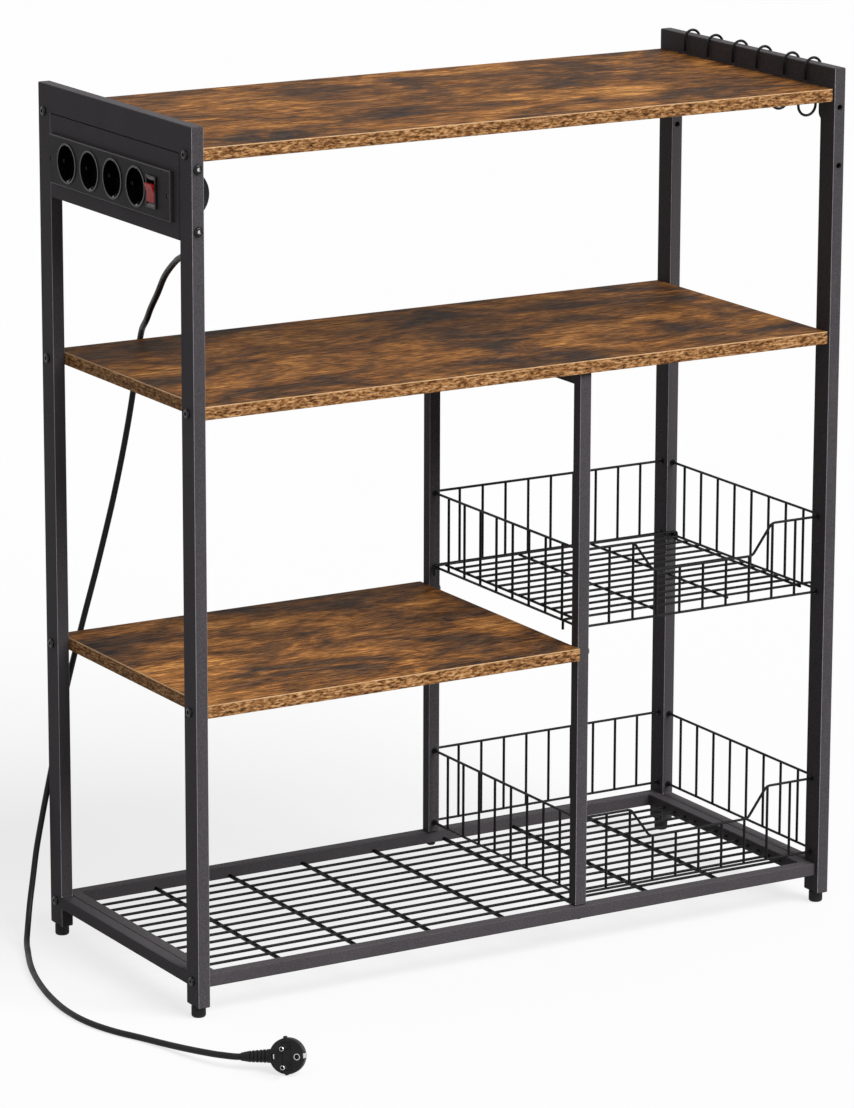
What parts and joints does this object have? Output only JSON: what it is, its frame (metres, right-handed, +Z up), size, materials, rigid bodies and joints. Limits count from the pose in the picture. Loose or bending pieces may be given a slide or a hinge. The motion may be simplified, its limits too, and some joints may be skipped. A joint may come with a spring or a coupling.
{
  "type": "kitchen shelf with mains sockets",
  "caption": "Tall kitchen shelf of black steel tube with rustic boards, a wire rack and baskets, side mains sockets with a switch, a lead with a plug, and sliding S hooks.",
  "frame": {"origin": "on the floor under the middle of the shelf's box, taken without the lead and plug", "axes": "+X to the right along the shelf, +Y to the rear, +Z up; the sockets face -X"},
  "size_m": [0.9403, 0.5638, 0.951],
  "materials": {
    "powder_coat": "fine textured black powder coat",
    "rustic_board": "rustic brown laminated chipboard, matt",
    "black_wire": "black coated steel wire, satin",
    "black_plastic": "black moulded plastic, satin",
    "socket_plastic": "black moulded plastic, half gloss",
    "red_lens": "translucent red plastic, glossy",
    "brass": "stamped brass strip",
    "nickel": "nickel plated, bright",
    "bolt_steel": "black oxide steel, satin",
    "rubber": "black flexible plastic, matt"
  },
  "bodies": {
    "shelf": {"left_side_frame": "powder_coat", "right_side_frame": "powder_coat", "middle_frame": "powder_coat", "top_board": "rustic_board", "middle_board": "rustic_board", "lower_board": "rustic_board", "bottom_rack": "powder_coat", "socket_panel": "powder_coat", "strip_housing": "black_plastic", "strip_face_plate": "black_plastic", "live_busbar": "brass", "neutral_busbar": "brass", "earth_busbar": "brass", "switch_body": "black_plastic", "lead_gland": "rubber", "mains_lead": "rubber", "plug_body": "rubber", "plug_pins": "nickel", "upper_basket_tray": "black_wire", "socket_1": "socket_plastic", "socket_2": "socket_plastic", "socket_3": "socket_plastic", "socket_4": "socket_plastic", "upper_basket_front": "black_wire", "upper_basket_rear": "black_wire", "upper_basket_left": "black_wire", "upper_basket_right": "black_wire", "lower_basket_front": "black_wire", "lower_basket_rear": "black_wire", "lower_basket_left": "black_wire", "lower_basket_right": "black_wire", "top_board_bolt_left_front": "bolt_steel", "top_board_bolt_left_rear": "bolt_steel", "top_board_bolt_right_front": "bolt_steel", "top_board_bolt_right_rear": "bolt_steel", "middle_board_bolt_left_front": "bolt_steel", "middle_board_bolt_left_rear": "bolt_steel", "middle_board_bolt_right_front": "bolt_steel", "middle_board_bolt_right_rear": "bolt_steel", "lower_board_bolt_left_front": "bolt_steel", "lower_board_bolt_left_rear": "bolt_steel", "rack_bolt_left_front": "bolt_steel", "rack_bolt_left_rear": "bolt_steel", "rack_bolt_right_front": "bolt_steel", "rack_bolt_right_rear": "bolt_steel", "panel_bolt_front_upper": "bolt_steel", "panel_bolt_front_lower": "bolt_steel", "panel_bolt_rear_upper": "bolt_steel", "panel_bolt_rear_lower": "bolt_steel"},
    "rocker": {"switch_rocker": "red_lens"},
    "hook_1": {"hook_1": "black_wire"},
    "hook_2": {"hook_2": "black_wire"},
    "hook_3": {"hook_3": "black_wire"},
    "hook_4": {"hook_4": "black_wire"},
    "hook_5": {"hook_5": "black_wire"},
    "hook_6": {"hook_6": "black_wire"},
    "foot_left_front": {"foot_left_front": "rubber"},
    "foot_left_rear": {"foot_left_rear": "rubber"},
    "foot_right_front": {"foot_right_front": "rubber"},
    "foot_right_rear": {"foot_right_rear": "rubber"}
  },
  "joints": [
    {"name": "rocker_hinge", "type": "hinge", "parent": "shelf", "child": "rocker", "pos_m": [-0.41186, -0.09595, 0.8685], "axis": [0, 1, 0], "range_deg": [0, 20]},
    {"name": "hook_1_slide", "type": "slide", "parent": "shelf", "child": "hook_1", "axis": [0, 1, 0], "range_m": [-0.018, 0.018]},
    {"name": "hook_2_slide", "type": "slide", "parent": "shelf", "child": "hook_2", "axis": [0, 1, 0], "range_m": [-0.018, 0.018]},
    {"name": "hook_3_slide", "type": "slide", "parent": "shelf", "child": "hook_3", "axis": [0, 1, 0], "range_m": [-0.018, 0.018]},
    {"name": "hook_4_slide", "type": "slide", "parent": "shelf", "child": "hook_4", "axis": [0, 1, 0], "range_m": [-0.018, 0.018]},
    {"name": "hook_5_slide", "type": "slide", "parent": "shelf", "child": "hook_5", "axis": [0, 1, 0], "range_m": [-0.018, 0.018]},
    {"name": "hook_6_slide", "type": "slide", "parent": "shelf", "child": "hook_6", "axis": [0, 1, 0], "range_m": [-0.018, 0.018]},
    {"name": "foot_left_front_screw", "type": "slide", "parent": "shelf", "child": "foot_left_front", "axis": [0, 0, 1], "range_m": [-0.008, 0]},
    {"name": "foot_left_rear_screw", "type": "slide", "parent": "shelf", "child": "foot_left_rear", "axis": [0, 0, 1], "range_m": [-0.008, 0]},
    {"name": "foot_right_front_screw", "type": "slide", "parent": "shelf", "child": "foot_right_front", "axis": [0, 0, 1], "range_m": [-0.008, 0]},
    {"name": "foot_right_rear_screw", "type": "slide", "parent": "shelf", "child": "foot_right_rear", "axis": [0, 0, 1], "range_m": [-0.008, 0]}
  ]
}
